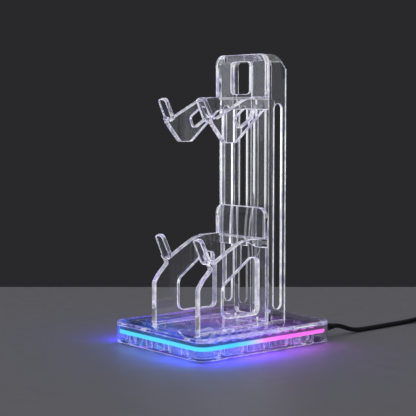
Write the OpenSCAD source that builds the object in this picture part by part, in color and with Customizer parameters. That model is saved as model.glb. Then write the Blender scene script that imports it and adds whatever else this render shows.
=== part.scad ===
// Two-tier stand for a pair of game controllers, in clear acrylic, with a lit base and a USB lead.
// Millimetres, +Z up, front face towards -Y. The origin is the centre of the base at table level.

/* [Base] */
// Width of the base, side to side
base_w = 124; // [122:1:132]
// Depth of the base, front to back
base_d = 150; // [148:1:160]
// Height of the base's top face above the table
base_h = 20; // [20:0.5:24]
// Radius of the base's upright corners
base_r = 11; // [10:0.5:13]
// Thickness of the tray's wall
wall_t = 2.4; // [2:0.1:2.8]
// Thickness of the tray's floor
floor_t = 2.4; // [2:0.1:3]
// Thickness of the top cover
cover_t = 3; // [2.5:0.1:3.5]
// Chamfer along the base's outer edges
edge = 0.8; // [0.4:0.1:1.2]

/* [Lighting] */
// Height of the light bar
bar_h = 4.5; // [3.5:0.1:5]
// Thickness of the light bar
bar_t = 3; // [2.4:0.1:3.2]
// Height of the light bar's underside above the table
bar_z = 9.6; // [9:0.1:10.2]
// Spacing of the light emitters along the strip
led_pitch = 10; // [8:0.5:14]

/* [Tower] */
// Width over the tower's outer flanges
tower_w = 66; // [64:0.5:68]
// Height of the tower's top above the table
tower_top = 253; // [250:1:280]
// Depth of the tower, front panel to the flanges' back edges
tower_depth = 20.5; // [19:0.5:24]
// Thickness of the tower's front panel
panel_t = 4.5; // [3:0.1:4.8]
// Thickness of the four flanges
flange_t = 2.9; // [2.4:0.1:3.4]
// Half of the width between the two rails
rail_gap = 12; // [10:0.5:13]
// Width of the long slots in the flanges
slot_w = 9.2; // [8:0.2:9.6]

/* [Holders] */
// Thickness of the arms
arm_t = 6; // [5:0.5:7]
// Thickness of the holders' back plates
plate_t = 4.3; // [3.5:0.1:5]
// Width of the finger at the tip of each arm
finger_w = 10.5; // [8:0.5:11]
// Thickness of the finger
finger_t = 3.9; // [3:0.1:4.5]
// Forward lean of the finger
finger_lean = 25; // [20:1:28]
// Top of the lower holder's back plate above the table
lower_top = 120; // [116:1:140]

/* [Lead] */
// Outer diameter of the lead
lead_d = 4.2; // [4:0.1:4.4]

/* [Hidden] */
$fn = 48;

clear = [0.84, 0.87, 0.98, 0.45];
rubber = [0.08, 0.08, 0.09];
steel = [0.72, 0.73, 0.75];

gap = 0.25;          // between neighbours that don't touch
foot_rise = 1;       // the tray's underside above the table
floor_z = foot_rise + floor_t;
rim_z = base_h - cover_t - gap;
seat_z = 13;         // what the tower and the lower arms stand on

// Distances inwards from the base's outer face
bar_in = wall_t + gap;
led_depth = 1.6;
strip_t = 0.6;
led_in = bar_in + bar_t + 0.4;
led_z = bar_z + bar_h + 0.1;
strip_in = led_in + led_depth;
rail_in = strip_in + strip_t;
rail_t = 1.6;
light_end = base_d / 2 - base_r;

// Tower, from its front face back
tower_y = 24.3;
tower_back = tower_y + tower_depth;
panel_back = tower_y + panel_t;
flange_x = tower_w / 2 - flange_t;
slot_y = panel_back + 2.2 + slot_w / 2;
slot_low = 30;
slot_high = 210;
window_low = 24;
top_t = 6.5;         // the wall that closes the tower's top
window_high = tower_top - top_t;
bead = 0.2;          // weld beads hold the holders this far off the tower

// Holders
arm_x = tower_w / 2 - arm_t;
plate_y = tower_y - bead - plate_t;
arm_back = tower_y - bead;
lower_fold = 93.8;
upper_fold = 216;

// Screws and feet
screw_x = base_w / 2 - 18;
screw_y = base_d / 2 - 27;
foot_x = base_w / 2 - 12;
foot_y = base_d / 2 - 12;
foot_d = 12;

// Control board, behind the tower
board_x = -9;
board_y = 59.5;
board_w = 46;
board_d = 21;
board_z = 6.4;
board_t = 1.6;
board_top = board_z + board_t;

// Lead, from the back wall to the coil
lead_x = 43;
lead_z = 9.5;
boot_len = 20;
track = lead_d + 0.1; // from one turn of the coil to the next
coil_r = 22.9;       // mean radius of the turns
coil_wide = 3 * track + lead_d;
coil_high = track + lead_d;
tie_t = 0.8;
coil_at = [lead_x + coil_r + 1.5 * track, 234];
route = [
    [43, 95, 9.5], [43, 98, 9.5], [43, 103, 8.7], [43, 109, 6.9], [43, 115, 4.9], [43, 121, 3.3],
    [43, 128, 2.4], [43, 135, 2.1], [43, 145, 2.1], [43, 156, 2.1], [43, 168, 2.1],
    [43, 180, 2.1], [43, 192, 2.2], [43, 202, 2.5], [43, 211, 2.9], [43, 218.1, 2.9]
];
plug_x = coil_at[0] + coil_r + 1.5 * track;
plug_z = 4;
plug_relief = 9;
plug_len = 24;
plug_w = 15.4;
plug_h = 8;
shell_w = 12;
shell_h = 4.5;
shell_len = 12;
plug_y = coil_at[1] - 17.2 - plug_relief;

// Unit vector
function unit(v) = v / norm(v);

// A corner b between a and c, drawn as an arc of radius b[2]
function corner(a, b, c, steps) =
    b[2] == 0 ? [[b[0], b[1]]] :
    let (
        p = [b[0], b[1]],
        u = unit([a[0], a[1]] - p),
        v = unit([c[0], c[1]] - p),
        half = acos(u * v) / 2,
        centre = p + unit(u + v) * b[2] / sin(half),
        start = p + u * b[2] / tan(half) - centre,
        way = u[0] * v[1] - u[1] * v[0] > 0 ? -1 : 1,
        sweep = way * (180 - 2 * half)
    )
    [for (i = [0 : steps])
        let (t = sweep * i / steps)
        centre + [start[0] * cos(t) - start[1] * sin(t), start[0] * sin(t) + start[1] * cos(t)]];

// A closed outline of [x, y, corner radius] points with its corners rounded
function rounded(pts, steps = 7) =
    [for (i = [0 : len(pts) - 1])
        each corner(pts[(i + len(pts) - 1) % len(pts)], pts[i], pts[(i + 1) % len(pts)], steps)];

// The stub of an arm that carries its finger
function finger_foot(tip, rise) =
    let (
        down = [sin(finger_lean), -cos(finger_lean)],
        foot = tip + (rise + 1) * down,
        inner = tip + finger_t * [cos(finger_lean), sin(finger_lean)] + (rise - 0.5) * down
    )
    [[foot[0], foot[1], 0.9], [inner[0], inner[1], 0.9]];

// Rounded rectangle centred on the origin
module round_rect(w, d, r) {
    square([w - 2 * r, d], center = true);
    square([w, d - 2 * r], center = true);
    for (x = [-1, 1], y = [-1, 1])
        translate([x * (w / 2 - r), y * (d / 2 - r)]) circle(r);
}

// The base's outline, drawn in by a distance
module base_outline(inset) round_rect(base_w - 2 * inset, base_d - 2 * inset, base_r - inset);

// A band round the base between two insets, along the front and both sides as far as back_end
module light_band(inset, t, back_end = light_end) {
    difference() {
        base_outline(inset);
        base_outline(inset + t);
        translate([-base_w, back_end]) square([2 * base_w, base_d]);
    }
}

// A slab of the base's outline, chamfered at its top or bottom edge
module base_slab(h, low_edge, high_edge) {
    hull() for (x = [-1, 1], y = [-1, 1])
        translate([x * (base_w / 2 - base_r), y * (base_d / 2 - base_r)]) {
            cylinder(r = base_r - edge, h = h, $fn = 64);
            translate([0, 0, low_edge]) cylinder(r = base_r, h = h - low_edge - high_edge, $fn = 64);
        }
}

// An outline in the Y-Z plane, extruded along X
module side_extrude(pts, x, t) {
    translate([x, 0, 0]) rotate([90, 0, 90]) linear_extrude(t) polygon(pts);
}

// A shape in the X-Z plane, extruded backwards from y
module front_extrude(y, t) {
    translate([0, y + t, 0]) rotate([90, 0, 0]) linear_extrude(t) children();
}

module at_corners(x, y) for (sx = [-1, 1], sy = [-1, 1]) translate([sx * x, sy * y, 0]) children();

// Posts under the light bar, round the inside of the wall
module bar_posts() {
    post_w = 6;
    reach = 4.6;
    for (x = [-36, -12, 12, 36])
        translate([x - post_w / 2, -base_d / 2 + wall_t - 0.4, floor_z - 0.5])
            cube([post_w, reach, bar_z - floor_z + 0.5]);
    for (side = [-1, 1], y = [-50 : 25 : 50])
        translate([side * (base_w / 2 - wall_t + 0.4 - reach / 2), y, (bar_z + floor_z - 0.5) / 2])
            cube([reach, post_w, bar_z - floor_z + 0.5], center = true);
}

// Posts that the tower's flanges and the lower arms stand on
module seat_posts() {
    h = seat_z - floor_z + 0.5;
    for (side = [-1, 1]) {
        for (y = [-46, -16, 12])
            translate([side * (arm_x + arm_t / 2), y, floor_z - 0.5 + h / 2])
                cube([3.4, 7, h], center = true);
        for (x = [rail_gap + flange_t / 2, flange_x + flange_t / 2])
            translate([side * x, tower_y + 12, floor_z - 0.5 + h / 2]) cube([2, 7, h], center = true);
    }
}

module base_housing() color(clear) {
    difference() {
        union() {
            difference() {
                translate([0, 0, foot_rise]) base_slab(rim_z - foot_rise, edge, 0);
                translate([0, 0, floor_z]) linear_extrude(base_h) base_outline(wall_t);
            }
            translate([0, 0, floor_z - 0.5]) linear_extrude(base_h - 4 - floor_z)
                light_band(rail_in, rail_t, light_end - 8);
            bar_posts();
            seat_posts();
            at_corners(screw_x, screw_y) translate([0, 0, floor_z - 0.5]) cylinder(d = 9, h = 3.1);
            translate([board_x, board_y, floor_z - 0.5])
                at_corners(board_w / 2 - 3.5, board_d / 2 - 3.5) cylinder(d = 5, h = board_z - floor_z + 0.5);
        }
        at_corners(screw_x, screw_y) {
            cylinder(d = 6.2, h = floor_z);
            cylinder(d = 3.4, h = base_h);
        }
        at_corners(foot_x, foot_y) cylinder(d = foot_d + 0.4, h = foot_rise + 1);
        translate([board_x, board_y, 4.2]) at_corners(board_w / 2 - 3.5, board_d / 2 - 3.5) cylinder(d = 2.2, h = 4);
        translate([lead_x, base_d / 2 + 1, lead_z]) rotate([90, 0, 0]) cylinder(d = 7.2, h = wall_t + 2);
    }
}

// The tower's section and the lower arms, with room round them
module cover_cuts() {
    c = gap;
    translate([-tower_w / 2 - c, tower_y - c]) square([tower_w + 2 * c, panel_t + 2 * c]);
    for (side = [-1, 1]) {
        for (x = [rail_gap + flange_t / 2, flange_x + flange_t / 2])
            translate([side * x, tower_y + tower_depth / 2])
                square([flange_t + 2 * c, tower_depth + 2 * c], center = true);
        translate([side * (arm_x + arm_t / 2), (arm_back - 53) / 2])
            square([arm_t + 2 * c, arm_back + 53 + 2 * c], center = true);
    }
}

module base_cover() color(clear) {
    difference() {
        union() {
            translate([0, 0, base_h - cover_t]) base_slab(cover_t, 0, edge);
            at_corners(screw_x, screw_y)
                translate([0, 0, floor_z + 2.6]) cylinder(d = 7, h = base_h - cover_t + 0.5 - floor_z - 2.6);
        }
        translate([0, 0, base_h - cover_t - 1]) linear_extrude(cover_t + 2) cover_cuts();
        at_corners(screw_x, screw_y) translate([0, 0, floor_z]) cylinder(d = 2.9, h = 11);
    }
}

module light_bar() color([0.35, 0.8, 1]) {
    inner = base_w / 2 - bar_in - bar_t;
    translate([0, 0, bar_z]) linear_extrude(bar_h) light_band(bar_in, bar_t);
    for (side = [-1, 1])
        translate([side * (inner + bar_t / 2) - bar_t / 2, light_end, bar_z + bar_h / 2])
            rotate([0, 90, 0]) cylinder(d = bar_h, h = bar_t);
}

module led_strip() color("white")
    translate([0, 0, led_z - 2.5]) linear_extrude(4.8) light_band(strip_in, strip_t);

// One light emitter, its back on the strip and its face towards -Y
module emitter() {
    translate([-1.75, 0, led_z - 1.4]) cube([3.5, led_depth, 2.8]);
}

module led_emitters() color("lightyellow") {
    for (x = [-4.5 : 4.5]) translate([x * led_pitch, -base_d / 2 + led_in, 0]) emitter();
    for (side = [-1, 1], y = [-5.5 : 5.5])
        translate([side * (base_w / 2 - led_in), y * led_pitch, 0]) rotate([0, 0, side * 90]) emitter();
}

module control_board() color([0.1, 0.32, 0.2]) {
    difference() {
        translate([board_x - board_w / 2, board_y - board_d / 2, board_z]) cube([board_w, board_d, board_t]);
        translate([board_x, board_y, 0]) at_corners(board_w / 2 - 3.5, board_d / 2 - 3.5) cylinder(d = 2.6, h = 20);
    }
}

module control_chip() color([0.07, 0.07, 0.08]) {
    translate([board_x - 9.5, board_y - 8.5, board_top]) cube([8, 8, 1.6]);
}

// Capacitor, coil and four small chips on the control board
module board_parts() color([0.3, 0.3, 0.33]) {
    translate([board_x + 4.5, board_y - 4.5, board_top]) cylinder(d = 5, h = 5.4);
    translate([board_x + 2, board_y + 2, board_top]) cube([5, 5, 2.4]);
    for (i = [0 : 3]) translate([board_x - 13 + i * 3.4, board_y + 2.4, board_top]) cube([1.6, 2.6, 0.9]);
}

// Three-way socket for the strip's ribbon, open to the left
module strip_socket() color("white") {
    difference() {
        translate([board_x - board_w / 2, board_y - 4.1, board_top]) cube([6, 8.4, 5]);
        translate([board_x - board_w / 2 - 1, board_y - 2.8, board_top + 0.8]) cube([4, 5.8, 3.4]);
    }
}

// Ribbon of three wires from the board to the strip's left end
module strip_ribbon() color("gainsboro") {
    from = board_x - board_w / 2 + 3;
    to = -base_w / 2 + rail_in;
    mid = board_y - 0.6;
    line = [[from, mid, 0], [from - 9, mid, 5], [from - 13, mid + 2.2, 5], [to, mid + 2.2, 0],
        [to, mid + 3.4, 0], [from - 12.4, mid + 3.4, 5], [from - 8.4, mid + 1.2, 5], [from, mid + 1.2, 0]];
    translate([0, 0, board_top + 0.8]) linear_extrude(3.4) polygon(rounded(line, 5));
}

module input_socket() color([0.12, 0.12, 0.13])
    translate([board_x + board_w / 2 - 8, board_y - 3.3, board_top]) cube([8, 6.4, 4.6]);

// The lead's end inside the base, from the boot round to the board
module inner_lead() color(rubber) {
    bend = 9;
    r = 1.8;
    end_x = board_x + board_w / 2;
    end_y = board_y - 0.1;
    start_y = base_d / 2 - wall_t - 1.6;
    translate([lead_x, start_y, lead_z]) rotate([90, 0, 0]) cylinder(r = r, h = start_y - end_y - bend);
    translate([lead_x - bend, end_y + bend, lead_z])
        rotate([0, 0, -90]) rotate_extrude(angle = 90) translate([bend, 0]) circle(r);
    translate([end_x, end_y, lead_z]) rotate([0, 90, 0]) cylinder(r = r, h = lead_x - bend - end_x);
}

module board_screws() color(steel)
    translate([board_x, board_y, 0]) at_corners(board_w / 2 - 3.5, board_d / 2 - 3.5) {
        translate([0, 0, 4.4]) cylinder(d = 2.2, h = board_top - 4.4);
        translate([0, 0, board_top]) cylinder(d = 4.2, h = 1.4);
    }

module cover_screws() color(steel)
    at_corners(screw_x, screw_y) difference() {
        union() {
            translate([0, 0, floor_z - 1.9]) cylinder(d = 5.6, h = 1.9);
            translate([0, 0, floor_z]) cylinder(d = 2.9, h = 9.6);
        }
        translate([0, 0, floor_z - 2]) cylinder(d = 2.4, h = 1.3, $fn = 6);
    }

// Rubber foot, domed at its rim, in its recess in the tray's floor
module foot(sx, sy) color(rubber)
    translate([sx * foot_x, sy * foot_y, 0])
        rotate_extrude() polygon([[0, 0], [foot_d / 2 - 0.8, 0], [foot_d / 2 - 0.2, 0.3], [foot_d / 2, 0.9],
            [foot_d / 2, foot_rise + 1], [0, foot_rise + 1]]);

// A long slot with round ends, cut along X
module flange_slot() {
    for (z = [slot_low + slot_w / 2, slot_high - slot_w / 2])
        translate([-tower_w, slot_y, z]) rotate([0, 90, 0]) cylinder(d = slot_w, h = 2 * tower_w);
    translate([-tower_w, slot_y - slot_w / 2, slot_low + slot_w / 2])
        cube([2 * tower_w, slot_w, slot_high - slot_low - slot_w]);
}

// An upright outline with round top corners, from half its width, its foot, its top and their radius
module arch(half, low, high, r) {
    translate([-half, low]) square([2 * half, high - r - low]);
    translate([-half + r, low]) square([2 * (half - r), high - low]);
    for (side = [-1, 1]) translate([side * (half - r), high - r]) circle(r);
}

module tower() color(clear) {
    corner_r = 8;
    inner_top = slot_high + 4;
    difference() {
        union() {
            front_extrude(tower_y, panel_t) arch(tower_w / 2, seat_z, tower_top, corner_r);
            // Outer flanges and top wall, one band behind the panel's edge
            front_extrude(tower_y, tower_depth) difference() {
                arch(tower_w / 2, seat_z, tower_top, corner_r);
                arch(flange_x, seat_z - 1, window_high, 0.8);
            }
            // Inner flanges, which end just above their slots
            for (side = [-1, 1])
                translate([side * (rail_gap + flange_t / 2) - flange_t / 2, panel_back - 0.5, seat_z])
                    cube([flange_t, tower_depth - panel_t + 0.5, inner_top - seat_z]);
        }
        // Window between the rails
        front_extrude(tower_y - 1, panel_t + 2)
            translate([0, (window_low + window_high) / 2])
                round_rect(2 * rail_gap, window_high - window_low, 4);
        flange_slot();
        // Sloping back corner of the outer flanges
        side_extrude([[tower_back - 10.3, tower_top + 1], [tower_back + 1, tower_top + 1],
            [tower_back + 1, tower_top - 14.3], [tower_back, tower_top - 13], [tower_back - 10.3, tower_top]],
            -tower_w, 2 * tower_w);
    }
}

// Outlines of the arms in the Y-Z plane, from the back round by the bottom and the front
lower_tip = [-51.6, 96];
upper_tip = [-47.8, 213.6];
lower_arm = concat(
    [[arm_back, lower_fold, 0], [arm_back, seat_z, 0], [-53, seat_z, 0], [-53, 55.5, 7], [-48, 62.5, 7],
        [-39, 71, 2]],
    finger_foot(lower_tip, 19.3),
    [[-37.6, 75.2, 1.6], [-22, 84.3, 20], [-8, 91.6, 14], [2, lower_fold, 10]]
);
lower_window = [[13.5, 28, 5], [-26.5, 28, 6], [-26.5, 55.5, 8], [4.5, 77.5, 4], [13.5, 77.5, 4]];
upper_arm = concat(
    [[arm_back, upper_fold, 0], [arm_back, 205, 0], [18, 203, 3], [-12, 176.8, 5], [-24.5, 176.8, 4.5],
        [-38.4, 193.2, 2]],
    finger_foot(upper_tip, 17),
    [[-34.6, 197, 1.6], [-14, 207.7, 20], [-4, 212.8, 12], [8, upper_fold, 10]]
);
upper_window = [[9, 205.2, 2.5], [-3, 205.2, 4], [-13, 198, 3], [-9, 188.4, 2.5], [5, 197.2, 3]];

// One finger: a leaning tab with round corners, its front face on the arm's finger line
module finger_tab(tip, length) {
    translate([0, tip[0], tip[1]]) rotate([finger_lean, 0, 0]) {
        translate([0, finger_t, -length / 2]) rotate([90, 0, 0]) linear_extrude(finger_t)
            round_rect(finger_w, length, 3.2);
    }
}

// A holder: two arms, their fingers and a back plate with a bead along the fold
module holder(arm, window, tip, tab_len, plate_low, plate_high, fold) {
    plate_r = 9;
    difference() {
        union() {
            for (x = [-arm_x - arm_t, arm_x]) side_extrude(rounded(arm), x, arm_t);
            for (side = [-1, 1])
                translate([side * (arm_x + arm_t - 1.75 - finger_w / 2), 0, 0]) finger_tab(tip, tab_len);
            front_extrude(plate_y, plate_t) arch(tower_w / 2, plate_low, plate_high, plate_r);
            translate([-tower_w / 2 + 0.5, plate_y, fold - 1.2]) rotate([0, 90, 0]) cylinder(r = 1.2, h = tower_w - 1);
            for (side = [-1, 1])
                translate([side * (tower_w / 2 - 1.6) - 0.5, arm_back - 0.5, plate_low + 2])
                    cube([1, bead + 0.5, plate_high - plate_r - plate_low - 4]);
        }
        side_extrude(rounded(window, 5), -tower_w, 2 * tower_w);
    }
}

module lower_holder() color(clear)
    holder(lower_arm, lower_window, lower_tip, 23.5, 85, lower_top, lower_fold);

// The upper plate has the tower's window too
module upper_holder() color(clear) difference() {
    holder(upper_arm, upper_window, upper_tip, 21, 205, tower_top, upper_fold);
    front_extrude(plate_y - 1, plate_t + 2)
        translate([0, (upper_fold + 2.5 + window_high) / 2])
            round_rect(2 * rail_gap, window_high - upper_fold - 2.5, 4);
}

// Strain relief through the back wall: inner flange, neck and ringed taper
module lead_boot() color(rubber) {
    wall_y = base_d / 2;
    inside = wall_y - wall_t - 1.6;
    ring = 2.6;
    translate([lead_x, inside, lead_z]) rotate([-90, 0, 0]) rotate_extrude() polygon(concat(
        [[0, 0], [5, 0], [5, 1.6], [3.6, 1.6], [3.6, wall_t + 1.6], [4.6, wall_t + 1.6], [4.6, wall_t + 3.2]],
        [for (i = [0 : 5], step = [0 : 3])
            let (y = wall_t + 3.6 + i * ring, r = 4.1 - i * 0.24)
            [step == 0 || step == 3 ? r - 0.7 : r, y + [0, 0.5, 1.7, 2.2][step]]],
        [[2.6, wall_t + 1.6 + boot_len], [0, wall_t + 1.6 + boot_len]]
    ));
}

// The frame of a tube at point i of a path: centre, sideways and upward directions
function along(path, i) =
    unit(path[min(i + 1, len(path) - 1)] - path[max(i - 1, 0)]);

// A tube of n sides swept along a path
module sweep_tube(path, d, n) {
    rings = [for (i = [0 : len(path) - 1])
        let (t = along(path, i), side = unit(cross(t, [0, 0, 1])), up = cross(side, t))
        for (k = [0 : n - 1])
            path[i] + d / 2 * (cos(360 * k / n) * side + sin(360 * k / n) * up)];
    last = len(path) - 1;
    polyhedron(rings, concat(
        [[for (k = [0 : n - 1]) k]],
        [[for (k = [n - 1 : -1 : 0]) last * n + k]],
        [for (i = [0 : last - 1], k = [0 : n - 1])
            let (a = i * n + k, b = i * n + (k + 1) % n)
            each [[a, a + n, b], [b, a + n, b + n]]]
    ));
}

module lead() color(rubber) sweep_tube(route, lead_d, 8);

// The section of the coil, its inner side at x = 0
module coil_section() square([coil_wide, coil_high]);

module lead_coil() color(rubber)
    translate([coil_at[0], coil_at[1], tie_t]) rotate_extrude($fn = 72)
        translate([coil_r - coil_wide / 2, 0]) coil_section();

// Two ties round the coil
module coil_ties() color([0.16, 0.16, 0.17])
    for (turn = [60, 240])
        translate([coil_at[0], coil_at[1], 0]) rotate([0, 0, turn]) rotate_extrude(angle = 18, $fn = 72)
            translate([coil_r - coil_wide / 2, tie_t]) difference() {
                translate([-tie_t, -tie_t]) square([coil_wide + 2 * tie_t, coil_high + 2 * tie_t]);
                coil_section();
            }

// Moulded body of the plug, with its tapered relief towards the coil
module plug_body() color(rubber) {
    translate([plug_x, plug_y - plug_len, plug_z]) rotate([-90, 0, 0]) {
        linear_extrude(plug_len) round_rect(plug_w, plug_h, 2);
        translate([0, 0, plug_len - 0.5]) rotate_extrude()
            polygon([[0, 0], [3.7, 0], [3.5, 3], [2.6, plug_relief + 0.5], [0, plug_relief + 0.5]]);
    }
}

module plug_shell() color(steel)
    translate([plug_x, plug_y - plug_len - shell_len, plug_z]) rotate([-90, 0, 0]) difference() {
        linear_extrude(shell_len) square([shell_w, shell_h], center = true);
        translate([0, 0, -1]) linear_extrude(shell_len + 2)
            square([shell_w - 0.7, shell_h - 0.7], center = true);
        for (side = [-1, 1]) translate([side * 2.8, 0, 5.4]) cube([2.2, 20, 2.2], center = true);
    }

module plug_tongue() color("whitesmoke") {
    t = 1.9;
    inside = shell_h / 2 - 0.35;
    translate([plug_x - 5.6, plug_y - plug_len - shell_len + 0.6, plug_z + inside - t])
        cube([11.2, shell_len - 0.6, t]);
}

base_housing();
base_cover();
light_bar();
led_strip();
led_emitters();
control_board();
control_chip();
board_parts();
strip_socket();
strip_ribbon();
input_socket();
inner_lead();
board_screws();
cover_screws();
foot(-1, -1);  // foot_1
foot(1, -1);  // foot_2
foot(1, 1);  // foot_3
foot(-1, 1);  // foot_4
tower();
lower_holder();
upper_holder();
lead_boot();
lead();
lead_coil();
coil_ties();
plug_body();
plug_shell();
plug_tongue();
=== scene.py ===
import math

import bmesh
import bpy
from mathutils import Matrix, Vector


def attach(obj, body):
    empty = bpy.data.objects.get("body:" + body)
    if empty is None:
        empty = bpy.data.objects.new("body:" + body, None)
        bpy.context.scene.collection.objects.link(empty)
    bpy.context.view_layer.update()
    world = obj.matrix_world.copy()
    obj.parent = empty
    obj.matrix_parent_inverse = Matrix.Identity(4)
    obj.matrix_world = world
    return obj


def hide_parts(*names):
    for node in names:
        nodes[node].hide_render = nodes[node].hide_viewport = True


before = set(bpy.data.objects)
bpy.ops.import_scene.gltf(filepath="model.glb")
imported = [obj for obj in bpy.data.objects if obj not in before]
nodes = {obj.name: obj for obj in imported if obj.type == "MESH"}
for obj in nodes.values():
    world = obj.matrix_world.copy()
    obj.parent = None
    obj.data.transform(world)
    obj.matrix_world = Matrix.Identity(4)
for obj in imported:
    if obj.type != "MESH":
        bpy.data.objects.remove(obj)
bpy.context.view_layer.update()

camera = {
    "lens": 103.07, "place": (0.79218, -0.67354, 0.20363),
    "turn": 50.33,  # degrees round the stand, from its front
    "down": 4.65,  # degrees that it looks down
    "near": 0.01, "far": 60,
}


def addObject(name, data):
    thing = bpy.data.objects.new(name, data)
    bpy.context.collection.objects.link(thing)
    return thing


def addCamera():
    data = bpy.data.cameras.new("camera")
    data.lens = camera["lens"]
    data.clip_start, data.clip_end = camera["near"], camera["far"]
    view = addObject("camera", data)
    turn, down = math.radians(camera["turn"]), math.radians(camera["down"])
    back = Vector((math.sin(turn) * math.cos(down), -math.cos(turn) * math.cos(down), math.sin(down)))
    view.location = camera["place"]
    view.rotation_mode = "QUATERNION"
    view.rotation_quaternion = back.to_track_quat("Z", "Y")
    bpy.context.scene.camera = view
    print("camera placed")


def addNode(tree, kind, values=None, **fields):
    node = tree.nodes.new(kind)
    for name, value in fields.items():
        setattr(node, name, value)
    for name, value in (values or {}).items():
        node.inputs[name].default_value = value
    return node


def addRamp(tree, stops):
    ramp = addNode(tree, "ShaderNodeValToRGB")
    band = ramp.color_ramp
    while len(band.elements) < len(stops):
        band.elements.new(0.5)
    for element, (place, colour) in zip(band.elements, stops):
        element.position = place
        element.color = (*colour, 1)
    return ramp


# what the surface group's inputs are where a material doesn't set them, and the noise that it is made of
surfaceNoise = {
    "inputs": {"Broad Scale": 20, "Fine Scale": 900, "Low": 0.3, "High": 0.5, "Grain": 0.3},
    "broad": {"Detail": 4, "Roughness": 0.6},
    "fine": {"Detail": 3, "Roughness": 0.7},
    "spread": {"From Min": 0.3, "From Max": 0.7},
}


def surfaceGroup():
    # broad cloudy patches and fine grain, read from Object coordinates
    group = bpy.data.node_groups.new("surfaceDetail", "ShaderNodeTree")
    face = group.interface
    for name, start in surfaceNoise["inputs"].items():
        face.new_socket(name, in_out="INPUT", socket_type="NodeSocketFloat").default_value = start
    for name in ("Roughness", "Height", "Patches"):
        face.new_socket(name, in_out="OUTPUT", socket_type="NodeSocketFloat")
    entry, way = addNode(group, "NodeGroupInput"), addNode(group, "NodeGroupOutput")
    coord = addNode(group, "ShaderNodeTexCoord")
    broad = addNode(group, "ShaderNodeTexNoise", surfaceNoise["broad"])
    fine = addNode(group, "ShaderNodeTexNoise", surfaceNoise["fine"])
    spread = addNode(group, "ShaderNodeMapRange", surfaceNoise["spread"])
    blend = addNode(group, "ShaderNodeMix", data_type="FLOAT")
    link = group.links.new
    link(coord.outputs["Object"], broad.inputs["Vector"])
    link(coord.outputs["Object"], fine.inputs["Vector"])
    link(entry.outputs["Broad Scale"], broad.inputs["Scale"])
    link(entry.outputs["Fine Scale"], fine.inputs["Scale"])
    link(broad.outputs["Fac"], spread.inputs["Value"])
    link(entry.outputs["Low"], spread.inputs["To Min"])
    link(entry.outputs["High"], spread.inputs["To Max"])
    link(entry.outputs["Grain"], blend.inputs["Factor"])
    link(broad.outputs["Fac"], blend.inputs["A"])
    link(fine.outputs["Fac"], blend.inputs["B"])
    link(spread.outputs["Result"], way.inputs["Roughness"])
    link(blend.outputs["Result"], way.inputs["Height"])
    link(broad.outputs["Fac"], way.inputs["Patches"])
    return group


surfaceDetail = surfaceGroup()


def passLamps(tree, shader, tint):
    # rays from lamps pass the clear sheets, so what stands behind them is lit
    path = addNode(tree, "ShaderNodeLightPath")
    clear = addNode(tree, "ShaderNodeBsdfTransparent", {"Color": (*tint, 1)})
    mix = addNode(tree, "ShaderNodeMixShader")
    tree.links.new(path.outputs["Is Shadow Ray"], mix.inputs["Fac"])
    tree.links.new(shader, mix.inputs[1])
    tree.links.new(clear.outputs["BSDF"], mix.inputs[2])
    return mix.outputs["Shader"]


def startMaterial(name, detail, shader, relief, depth=0.0001, lampTint=None):
    # a Principled shader whose roughness and relief come from the shared group; clear ones get a lampTint
    material = bpy.data.materials.new(name)
    material.use_nodes = True
    tree = material.node_tree
    tree.nodes.clear()
    out = addNode(tree, "ShaderNodeOutputMaterial")
    main = addNode(tree, "ShaderNodeBsdfPrincipled", shader)
    surface = addNode(tree, "ShaderNodeGroup", detail, node_tree=surfaceDetail)
    bump = addNode(tree, "ShaderNodeBump", {"Strength": relief, "Distance": depth})
    tree.links.new(surface.outputs["Roughness"], main.inputs["Roughness"])
    tree.links.new(surface.outputs["Height"], bump.inputs["Height"])
    tree.links.new(bump.outputs["Normal"], main.inputs["Normal"])
    result = main.outputs["BSDF"]
    if lampTint:
        result = passLamps(tree, result, lampTint)
    tree.links.new(result, out.inputs["Surface"])
    return material, tree, main, surface


def mixColour(tree, mask, dark, light, target):
    # two tones of one colour, mixed by a mask over the surface
    mix = addNode(tree, "ShaderNodeMix", data_type="RGBA")
    mix.inputs["A"].default_value = (*dark, 1)
    mix.inputs["B"].default_value = (*light, 1)
    tree.links.new(mask, mix.inputs["Factor"])
    tree.links.new(mix.outputs["Result"], target)


def dimColour(tree, colour, share, target):
    # a colour times a share that changes over the surface
    dim = addNode(tree, "ShaderNodeMix", data_type="RGBA", blend_type="MULTIPLY")
    dim.inputs["Factor"].default_value = 1
    tree.links.new(colour, dim.inputs["A"])
    tree.links.new(share, dim.inputs["B"])
    tree.links.new(dim.outputs["Result"], target)


# the light bar's own light, what of it shows in the emitters, and the painted glow that stands for it in the
# base
glow = {
    # front and back of the base, where the ramps below start and end
    "from": -0.075, "to": 0.075,
    "barStrength": 1.15, "emitterStrength": 1.6, "paintedBaseGlowStrength": 0.12,
    # the bar is bright up to the first height and dim from the second, with this share of its light left
    "barFull": 0.0127, "barEnds": 0.0135, "barRest": 0.06,
    "bar": [(0.0, (0.09, 0.7, 1.0)), (0.22, (0.04, 0.64, 1.0)), (0.34, (0.16, 0.62, 1.0)),
            (0.42, (0.6, 0.55, 1.0)), (0.48, (0.95, 0.25, 0.9)), (0.6, (1.0, 0.16, 0.82)),
            (1.0, (1.0, 0.17, 0.86))],
    # painted glow of the bar's light in the clear base, from front to back
    "base": [(0.0, (0.06, 0.2, 1.0)), (0.3, (0.1, 0.1, 1.0)), (0.5, (0.28, 0.16, 1.0)),
             (0.7, (0.4, 0.18, 0.8)), (0.9, (0.14, 0.1, 0.24)), (1.0, (0.12, 0.1, 0.18))],
    "emitter": [(0.0, (0.05, 0.16, 1.0)), (0.25, (0.07, 0.13, 1.0)), (0.45, (0.22, 0.08, 1.0)),
                (0.62, (0.6, 0.08, 0.9)), (1.0, (0.75, 0.1, 0.75))],
}


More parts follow.
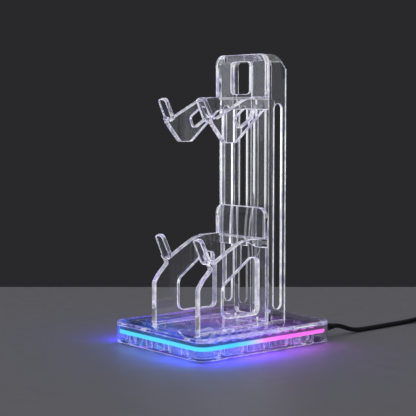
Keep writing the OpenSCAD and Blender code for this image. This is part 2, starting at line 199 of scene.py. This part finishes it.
def glowRamp(tree, stops):
    # gives the colour by the place from front to back, and the height
    coord = addNode(tree, "ShaderNodeTexCoord")
    split = addNode(tree, "ShaderNodeSeparateXYZ")
    along = addNode(tree, "ShaderNodeMapRange", {"From Min": glow["from"], "From Max": glow["to"]})
    ramp = addRamp(tree, stops)
    tree.links.new(coord.outputs["Object"], split.inputs["Vector"])
    tree.links.new(split.outputs["Y"], along.inputs["Value"])
    tree.links.new(along.outputs["Result"], ramp.inputs["Fac"])
    return ramp.outputs["Color"], split.outputs["Z"]


acrylic = {
    "tint": (0.975, 0.98, 1.0), "ior": 1.49,
    "detail": {"Fine Scale": 120, "Low": 0.0, "High": 0.03, "Grain": 0.1}, "waveScale": 14,
    "wave": 0.05, "waveDepth": 0.0004,
    # each face is given a faint painted glow for the light inside the sheet, so long ways along a sheet look
    # bright
    "inner": (0.78, 0.78, 1.0), "paintedInnerGlowStrength": 0.004,
    # in the base that painted glow has the bar's colours, in uneven clouds
    "cloudScale": 42, "clouds": {"From Min": 0.42, "From Max": 0.6, "To Min": 0.15, "To Max": 1.0},
    # what is left of a lamp's light behind a face and behind an edge
    "faceTint": (0.94, 0.95, 0.985), "edgeTint": (0.9, 0.91, 0.97),
    # the painted glow in the edges is uneven too, in streaks about a centimetre apart
    "edgeDetail": {"Broad Scale": 110, "Fine Scale": 1100, "Grain": 0.5}, "edgeRelief": 0.12,
    "streaks": {"From Min": 0.38, "From Max": 0.6},
}

# painted glow for light that runs inside a sheet and comes out of its rounded edges, and less of it on the cut
# sides between them
paintedEdgeGlow = {
    "armEdge": {"clear": 0.75, "rough": (0.08, 0.26), "strength": 0.56,
                "tones": ((0.3, 0.27, 0.62), (0.98, 0.95, 1.0))},
    "towerEdge": {"clear": 0.8, "rough": (0.08, 0.26), "strength": 0.36,
                  "tones": ((0.26, 0.26, 0.46), (0.96, 0.96, 1.0))},
    "baseEdge": {"clear": 0.85, "rough": (0.06, 0.22), "strength": 0.32,
                 "tones": ((0.1, 0.08, 0.55), (0.95, 0.9, 1.0))},
    "armCut": {"clear": 0.9, "rough": (0.02, 0.12), "strength": 0.24,
               "tones": ((0.3, 0.3, 0.46), (1.0, 0.98, 1.0))},
    "railCut": {"clear": 0.9, "rough": (0.02, 0.12), "strength": 0.42,
                "tones": ((0.5, 0.5, 0.6), (1.0, 1.0, 1.0))},
    "innerEdge": {"clear": 0.95, "rough": (0.02, 0.1), "strength": 0.07,
                  "tones": ((0.5, 0.5, 0.6), (1.0, 1.0, 1.0))},
}


def acrylicShader(clear, strength):
    return {"Base Color": (*acrylic["tint"], 1), "IOR": acrylic["ior"], "Transmission Weight": clear,
            "Emission Strength": strength}


def clearFace():
    detail = {"Broad Scale": acrylic["waveScale"], **acrylic["detail"]}
    # the clear sheets carry that faint painted glow as emission
    shader = {"Emission Color": (*acrylic["inner"], 1), **acrylicShader(1.0, acrylic["paintedInnerGlowStrength"])}
    material, *_ = startMaterial(
        "clearAcrylic", detail, shader, acrylic["wave"], acrylic["waveDepth"], acrylic["faceTint"])
    return material


# the base's clear faces, with a painted glow in the bar's colours
def litFace():
    detail = {"Broad Scale": acrylic["cloudScale"], **acrylic["detail"]}
    material, tree, main, surface = startMaterial(
        "litAcrylic", detail, acrylicShader(1.0, glow["paintedBaseGlowStrength"]),
        acrylic["wave"], acrylic["waveDepth"], acrylic["faceTint"])
    colour, _ = glowRamp(tree, glow["base"])
    clouds = addNode(tree, "ShaderNodeMapRange", acrylic["clouds"])
    tree.links.new(surface.outputs["Patches"], clouds.inputs["Value"])
    dimColour(tree, colour, clouds.outputs["Result"], main.inputs["Emission Color"])
    return material


def paintedEdgeGlowMaterial(name, look):
    low, high = look["rough"]
    detail = {"Low": low, "High": high, **acrylic["edgeDetail"]}
    material, tree, main, surface = startMaterial(
        name, detail, acrylicShader(look["clear"], look["strength"]),
        acrylic["edgeRelief"], lampTint=acrylic["edgeTint"])
    streaks = addNode(tree, "ShaderNodeMapRange", acrylic["streaks"])
    tree.links.new(surface.outputs["Patches"], streaks.inputs["Value"])
    # the edge's painted glow, between a dark and a light tone along the streaks
    mixColour(tree, streaks.outputs["Result"], *look["tones"], main.inputs["Emission Color"])
    return material


# the bar and the emitters unlit: base colour, grain and relief
bar = {"tone": (0.12, 0.13, 0.16), "relief": 0.1,
       "detail": {"Broad Scale": 60, "Fine Scale": 700, "Low": 0.3, "High": 0.45, "Grain": 0.5}}
emitter = {"tone": (0.75, 0.72, 0.6), "relief": 0.1,
           "detail": {"Broad Scale": 200, "Fine Scale": 1500, "Low": 0.2, "High": 0.4, "Grain": 0.5}}


def lightDiffuser():
    shader = {"Base Color": (*bar["tone"], 1), "Emission Strength": glow["barStrength"]}
    material, tree, main, _ = startMaterial("lightDiffuser", bar["detail"], shader, bar["relief"])
    colour, height = glowRamp(tree, glow["bar"])
    fade = addNode(tree, "ShaderNodeMapRange", {"From Min": glow["barFull"], "From Max": glow["barEnds"],
                                                "To Min": 1.0, "To Max": glow["barRest"]})
    tree.links.new(height, fade.inputs["Value"])
    dimColour(tree, colour, fade.outputs["Result"], main.inputs["Emission Color"])
    return material


def emitterResin():
    shader = {"Base Color": (*emitter["tone"], 1), "Emission Strength": glow["emitterStrength"]}
    material, tree, main, _ = startMaterial("emitterResin", emitter["detail"], shader, emitter["relief"])
    colour, _ = glowRamp(tree, glow["emitter"])
    tree.links.new(colour, main.inputs["Emission Color"])
    return material


# darker and lighter tone, least and most roughness, relief, scale of the grain, metallic
plainLooks = {
    "whitePlastic": ((0.7, 0.71, 0.75), (0.84, 0.85, 0.88), 0.35, 0.5, 0.1, 1200, 0),
    "boardLaminate": ((0.6, 0.62, 0.7), (0.74, 0.76, 0.82), 0.3, 0.45, 0.1, 1200, 0),
    "blackPlastic": ((0.012, 0.012, 0.014), (0.03, 0.03, 0.034), 0.35, 0.55, 0.2, 1200, 0),
    "greyParts": ((0.1, 0.1, 0.12), (0.2, 0.2, 0.23), 0.35, 0.5, 0.15, 1200, 0),
    "blackRubber": ((0.008, 0.008, 0.009), (0.022, 0.022, 0.024), 0.42, 0.6, 0.25, 1200, 0),
    "footRubber": ((0.2, 0.2, 0.22), (0.3, 0.3, 0.32), 0.5, 0.65, 0.2, 1200, 0),
    "platedSteel": ((0.5, 0.5, 0.53), (0.7, 0.71, 0.73), 0.2, 0.38, 0.1, 2500, 1),
    "paleFloor": ((0.475, 0.475, 0.494), (0.5, 0.5, 0.52), 0.38, 0.5, 0.05, 400, 0),
}
plainPatches = {"Broad Scale": 70, "Grain": 0.7}


def plainMaterial(name, dark, light, low, high, relief, fine, metallic):
    detail = {"Fine Scale": fine, "Low": low, "High": high, **plainPatches}
    material, tree, main, surface = startMaterial(name, detail, {"Metallic": metallic}, relief)
    mixColour(tree, surface.outputs["Patches"], dark, light, main.inputs["Base Color"])
    return material


def makeMaterials():
    made = {name: plainMaterial(name, *look) for name, look in plainLooks.items()}
    made.update({name: paintedEdgeGlowMaterial(name, look) for name, look in paintedEdgeGlow.items()})
    made.update({"clearAcrylic": clearFace(), "litAcrylic": litFace()})
    made.update({"lightDiffuser": lightDiffuser(), "emitterResin": emitterResin()})
    print("materials made:", len(made))
    return made


materials = makeMaterials()

# the nodes that are shown as they are
finishes = {
    "lightDiffuser": ("light_bar",),
    "emitterResin": ("led_emitters",),
    "whitePlastic": ("led_strip", "strip_socket", "strip_ribbon", "plug_tongue"),
    "boardLaminate": ("control_board",),
    "blackPlastic": ("control_chip", "input_socket", "coil_ties"),
    "greyParts": ("board_parts",),
    "blackRubber": ("inner_lead", "lead_boot", "plug_body"),
    "platedSteel": ("board_screws", "cover_screws", "plug_shell"),
    "footRubber": ("foot_1", "foot_2", "foot_3", "foot_4"),
}


def paintNodes():
    for finish, names in finishes.items():
        for name in names:
            nodes[name].data.materials.clear()
            nodes[name].data.materials.append(materials[finish])
        print("painted", finish, "on", ", ".join(names))
    # what these two throw on the floor comes from the small lamps further down
    for name in ("light_bar", "led_emitters"):
        nodes[name].visible_diffuse = False


lead = {
    "thick": 0.0042, "length": 1.1,
    "route": [(0.043, 0.095, 0.0095), (0.043, 0.098, 0.0095), (0.043, 0.103, 0.0087), (0.043, 0.109, 0.0069),
              (0.043, 0.115, 0.0049), (0.043, 0.121, 0.0033), (0.043, 0.128, 0.0024), (0.043, 0.135, 0.0021),
              (0.043, 0.145, 0.0021), (0.043, 0.156, 0.0021), (0.043, 0.168, 0.0021), (0.043, 0.180, 0.0021),
              (0.043, 0.192, 0.0022), (0.043, 0.202, 0.0025), (0.043, 0.211, 0.0029), (0.043, 0.2185, 0.0029),
              (0.043, 0.226, 0.0029)],
    # the coil: its middle, widest radius, space between turns, turns in a layer, height of the lower layer
    "coilAt": (0.07235, 0.234), "outer": 0.02935, "step": 0.0043, "tracks": 4, "low": 0.0029,
    "turns": 6.5, "perTurn": 16,
    # in turns, from the inmost point: how early the climb starts, how long it is, where the way outwards starts
    "climbEarly": 0.15, "climbLong": 0.5, "outwards": 0.2,
    "end": [(0.1017, 0.2285, 0.0067), (0.1017, 0.2235, 0.0053),
            (0.1017, 0.2195, 0.0042), (0.1017, 0.2163, 0.004)],
    "bevelResolution": 3, "curveResolution": 3,
}


def coilPoint(turn):
    # inwards on the lower layer, a short climb, and outwards on the upper one
    past = turn - (lead["tracks"] - 1)
    inner = lead["outer"] - (lead["tracks"] - 1) * lead["step"]
    if past < 0:
        radius = lead["outer"] - lead["step"] * turn
    else:
        radius = min(lead["outer"], inner + lead["step"] * max(0, past - lead["outwards"]))
    climb = min(1, max(0, (past + lead["climbEarly"]) / lead["climbLong"]))
    rise = lead["step"] * climb * climb * (3 - 2 * climb)
    angle = math.pi * (1 - 2 * turn)
    x, y = lead["coilAt"]
    return (x + radius * math.cos(angle), y + radius * math.sin(angle), lead["low"] + rise)


def addLead():
    count = round(lead["turns"] * lead["perTurn"])
    coil = [coilPoint(lead["turns"] * i / count) for i in range(count + 1)]
    points = lead["route"] + coil + lead["end"]
    data = bpy.data.curves.new("leadRun", "CURVE")
    data.dimensions = "3D"
    data.bevel_depth = lead["thick"] / 2
    data.bevel_resolution = lead["bevelResolution"]
    data.resolution_u = lead["curveResolution"]
    data.use_fill_caps = True
    spline = data.splines.new("BEZIER")
    spline.bezier_points.add(len(points) - 1)
    for point, place in zip(spline.bezier_points, points):
        point.co = place
        point.handle_left_type = point.handle_right_type = "AUTO"
    run = addObject("leadRun", data)
    run.data.materials.append(materials["blackRubber"])
    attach(run, "root")
    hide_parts("lead", "lead_coil")
    print("lead wound")


# the clear parts are shown as copies with rounded edges
clearParts = {
    # radius of the rounded edges, least angle that is rounded, widest face that counts as a cut side,
    # and the materials of faces, rounded edges, cut sides and edges that get little of the painted glow
    "tower": {"round": 0.0005, "from": 50, "cut": 0.00455,
              "finish": ("clearAcrylic", "towerEdge", "railCut", "innerEdge"),
              "hidden": {"within": 0.0156, "behind": 0.0293, "above": 0.222}},
    "lower_holder": {"round": 0.0006, "from": 50, "cut": 0.0062,
                     "finish": ("clearAcrylic", "armEdge", "armCut")},
    "upper_holder": {"round": 0.0006, "from": 50, "cut": 0.0062,
                     "finish": ("clearAcrylic", "armEdge", "armCut")},
    "base_housing": {"round": 0.0004, "from": 40, "cut": 0, "finish": ("litAcrylic", "baseEdge")},
    "base_cover": {"round": 0.0004, "from": 40, "cut": 0, "finish": ("litAcrylic", "baseEdge")},
}
faceSlot, edgeSlot, cutSlot, hiddenSlot = range(4)

shaping = {
    "merge": 0.000002,  # corners nearer than this become one
    "flat": 0.4,  # degrees up to which two faces are joined
    "planeCosine": 0.9999,  # above it two faces lie in one plane
    "leastFace": 0.0000005,  # an edge beside a lesser face than this isn't rounded
    "segments": 2,
    "sharp": 16,  # degrees from which an edge is shaded sharp
}


def flatRegions(mesh):
    # faces that lie in one plane beside each other count as one
    seen, regions = set(), []
    for start in mesh.faces:
        if start in seen:
            continue
        seen.add(start)
        region = [start]
        for face in region:
            for other in [f for e in face.edges for f in e.link_faces]:
                if other not in seen and other.normal.dot(start.normal) > shaping["planeCosine"]:
                    seen.add(other)
                    region.append(other)
        regions.append(region)
    return regions


def narrowest(region):
    # the lesser of the region's two sizes in its own plane
    normal = region[0].normal
    main = max(range(3), key=lambda axis: abs(normal[axis]))
    sizes = []
    for axis in range(3):
        if axis != main:
            places = [v.co[axis] for face in region for v in face.verts]
            sizes.append(max(places) - min(places))
    return min(sizes)


def dimHidden(mesh, hidden):
    # edges of the inner flanges, deep behind the panel, and cut sides round the top are in shade, so they get
    # the weakest painted glow
    for face in mesh.faces:
        x, y, z = face.calc_center_median()
        isInner = face.material_index != faceSlot and abs(x) < hidden["within"] and y > hidden["behind"]
        isTop = face.material_index == cutSlot and z > hidden["above"]
        if isInner or isTop:
            face.material_index = hiddenSlot


def roundedCopy(name, settings):
    mesh = bmesh.new()
    mesh.from_mesh(nodes[name].data)
    bmesh.ops.remove_doubles(mesh, verts=mesh.verts, dist=shaping["merge"])
    flat, least = math.radians(shaping["flat"]), math.radians(settings["from"])
    bmesh.ops.dissolve_limit(mesh, angle_limit=flat, verts=mesh.verts, edges=mesh.edges)
    for region in flatRegions(mesh):
        slot = cutSlot if narrowest(region) <= settings["cut"] else faceSlot
        for face in region:
            face.material_index = slot
    picked = [e for e in mesh.edges if e.is_manifold and e.is_convex and e.calc_face_angle(0) > least
              and min(f.calc_area() for f in e.link_faces) > shaping["leastFace"]]
    bmesh.ops.bevel(mesh, geom=picked, offset=settings["round"], offset_type="OFFSET", affect="EDGES",
                    segments=shaping["segments"], profile=0.5, clamp_overlap=False, material=edgeSlot)
    if "hidden" in settings:
        dimHidden(mesh, settings["hidden"])
    bmesh.ops.triangulate(mesh, faces=[f for f in mesh.faces if len(f.verts) > 4])
    data = bpy.data.meshes.new(name + "Clear")
    for finish in settings["finish"]:
        data.materials.append(materials[finish])
    mesh.to_mesh(data)
    mesh.free()
    data.shade_smooth()
    data.set_sharp_from_angle(angle=math.radians(shaping["sharp"]))
    piece = addObject(name + "Clear", data)
    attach(piece, "root")
    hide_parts(name)
    print(name, "edges rounded:", len(picked))


studio = {
    # the floor's width, and how far it reaches from the stand to the camera's side and to the far side
    "floorWide": 3.0, "floorNear": 1.4, "floorFar": 0.332,
    "soft": [
        # name, place, aimed at, width, height, power, colour
        ("key", (-0.35, -0.9, 1.25), (0, 0, 0.05), 0.8, 0.8, 0.5, (1.0, 0.98, 0.96)),
        ("top", (0.05, 0.1, 1.4), (0, 0, 0), 0.9, 0.9, 0.3, (1.0, 1.0, 1.0)),
    ],
    # the sky's tones, and the heights between which it turns from one to the other
    "dark": (0.022, 0.022, 0.024), "bright": (0.24, 0.24, 0.26), "darkTo": 0.3, "brightFrom": 0.7,
    # soft bright fields level with the stand, one on each side: direction, cosines from which it shows and
    # is full, strength
    "fields": [((-0.767, -0.636, 0.0), 0.80, 0.93, 0.8), ((0.767, 0.636, 0.0), 0.80, 0.93, 0.9)],
    "fieldTone": (0.95, 0.96, 1.0),
    "mirrored": 0.1,  # share of them that shows where nothing clear is in front
    "bounces": 24, "transparentBounces": 32,
}


def addFloor():
    # starts as a grid one metre wide
    mesh = bmesh.new()
    bmesh.ops.create_grid(mesh, x_segments=1, y_segments=1, size=0.5)
    turn = math.radians(camera["turn"])
    deep = studio["floorNear"] + studio["floorFar"]
    bmesh.ops.scale(mesh, vec=(studio["floorWide"], deep, 1), verts=mesh.verts)
    bmesh.ops.translate(mesh, vec=(0, studio["floorFar"] - deep / 2, 0), verts=mesh.verts)
    bmesh.ops.rotate(mesh, cent=(0, 0, 0), matrix=Matrix.Rotation(turn, 3, "Z"), verts=mesh.verts)
    data = bpy.data.meshes.new("floor")
    mesh.to_mesh(data)
    mesh.free()
    floor = addObject("floor", data)
    floor.data.materials.append(materials["paleFloor"])


def addLamp(name, place, aim, wide, high, power, colour, diffuseOnly=False):
    data = bpy.data.lights.new(name, "AREA")
    data.shape = "RECTANGLE"
    data.size, data.size_y, data.energy, data.color = wide, high, power, colour
    lamp = addObject(name, data)
    lamp.location = place
    lamp.rotation_mode = "QUATERNION"
    lamp.rotation_quaternion = (Vector(place) - Vector(aim)).to_track_quat("Z", "Y")
    lamp.visible_camera = False
    if diffuseOnly:
        lamp.visible_glossy = lamp.visible_transmission = False


def addLamps():
    for row in studio["soft"]:
        addLamp(*row)


# what the light bar throws on the floor: one lamp for each stretch of it
thrown = {
    "wide": 0.0615, "deep": 0.0745, "z": 0.009, "high": 0.004,
    # how far out and how far down the lamps are aimed
    "reach": 0.05, "drop": 0.03,
    # place along the edge, length, colour, power
    "front": [(-0.04, 0.036, (0.08, 0.22, 1.0), 0.0035), (0, 0.036, (0.05, 0.16, 1.0), 0.008),
              (0.04, 0.036, (0.04, 0.08, 1.0), 0.016)],
    "sides": [(-0.052, 0.036, (0.05, 0.04, 1.0), 0.022), (-0.015, 0.034, (0.14, 0.05, 1.0), 0.022),
              (0.02, 0.034, (0.36, 0.06, 0.9), 0.011), (0.052, 0.03, (0.45, 0.08, 0.75), 0.005)],
    # and what it throws down through the tray: place, colour, power
    "under": [(-0.05, (0.06, 0.16, 1.0), 0.05), (-0.01, (0.16, 0.1, 1.0), 0.06),
              (0.035, (0.4, 0.12, 0.9), 0.04)],
    "underWide": 0.1, "underDeep": 0.03, "underZ": 0.0085,
}


def addThrownLight():
    z, high, reach = thrown["z"], thrown["high"], thrown["reach"]
    aimZ = z - thrown["drop"]
    y = -thrown["deep"]
    for i, (x, size, colour, power) in enumerate(thrown["front"]):
        addLamp("front" + str(i), (x, y, z), (x, y - reach, aimZ), size, high, power, colour, True)
    for i, (y, size, colour, power) in enumerate(thrown["sides"]):
        for side in (-1, 1):
            x = side * thrown["wide"]
            addLamp("side" + str(i), (x, y, z), (x + side * reach, y, aimZ), size, high, power, colour, True)
    z, wide, deep = thrown["underZ"], thrown["underWide"], thrown["underDeep"]
    for i, (y, colour, power) in enumerate(thrown["under"]):
        addLamp("under" + str(i), (0, y, z), (0, y, 0), wide, deep, power, colour, True)


def addSky():
    # dark round the horizon and softly brighter overhead, with two bright fields that the clear edges pick up
    world = bpy.data.worlds.new("studio")
    bpy.context.scene.world = world
    world.use_nodes = True
    tree = world.node_tree
    tree.nodes.clear()
    link = tree.links.new
    out = addNode(tree, "ShaderNodeOutputWorld")
    sky = addNode(tree, "ShaderNodeBackground", {"Strength": 1.0})
    coord = addNode(tree, "ShaderNodeTexCoord")
    split = addNode(tree, "ShaderNodeSeparateXYZ")
    ramp = addRamp(tree, [(studio["darkTo"], studio["dark"]), (studio["brightFrom"], studio["bright"])])
    link(coord.outputs["Generated"], split.inputs["Vector"])
    link(split.outputs["Z"], ramp.inputs["Fac"])
    total = None
    for way, start, full, strength in studio["fields"]:
        near = addNode(tree, "ShaderNodeVectorMath", operation="DOT_PRODUCT")
        near.inputs[1].default_value = Vector(way).normalized()
        field = addNode(tree, "ShaderNodeMapRange", {"From Min": start, "From Max": full, "To Max": strength},
                        interpolation_type="SMOOTHSTEP")
        link(coord.outputs["Generated"], near.inputs[0])
        link(near.outputs["Value"], field.inputs["Value"])
        if total:
            both = addNode(tree, "ShaderNodeMath", operation="ADD")
            link(total, both.inputs[0])
            link(field.outputs["Result"], both.inputs[1])
            total = both.outputs["Value"]
        else:
            total = field.outputs["Result"]
    # through a clear part the fields show in full, and in other ways only weakly
    path = addNode(tree, "ShaderNodeLightPath")
    through = addNode(tree, "ShaderNodeMapRange", {"To Min": studio["mirrored"], "To Max": 1.0})
    share = addNode(tree, "ShaderNodeMath", operation="MULTIPLY")
    tint = addNode(tree, "ShaderNodeMix", data_type="RGBA", blend_type="ADD", clamp_factor=False)
    tint.inputs["B"].default_value = (*studio["fieldTone"], 1)
    link(path.outputs["Is Transmission Ray"], through.inputs["Value"])
    link(total, share.inputs[0])
    link(through.outputs["Result"], share.inputs[1])
    link(share.outputs["Value"], tint.inputs["Factor"])
    link(ramp.outputs["Color"], tint.inputs["A"])
    link(tint.outputs["Result"], sky.inputs["Color"])
    link(sky.outputs["Background"], out.inputs["Surface"])


def addStudio():
    addFloor()
    addLamps()
    addThrownLight()
    addSky()
    scene = bpy.context.scene
    scene.view_settings.view_transform = "Standard"
    scene.cycles.caustics_refractive = scene.cycles.caustics_reflective = False
    scene.cycles.max_bounces = scene.cycles.transmission_bounces = studio["bounces"]
    scene.cycles.transparent_max_bounces = studio["transparentBounces"]
    print("studio ready")


addCamera()
addLead()
paintNodes()
for partName, partSettings in clearParts.items():
    roundedCopy(partName, partSettings)
addStudio()
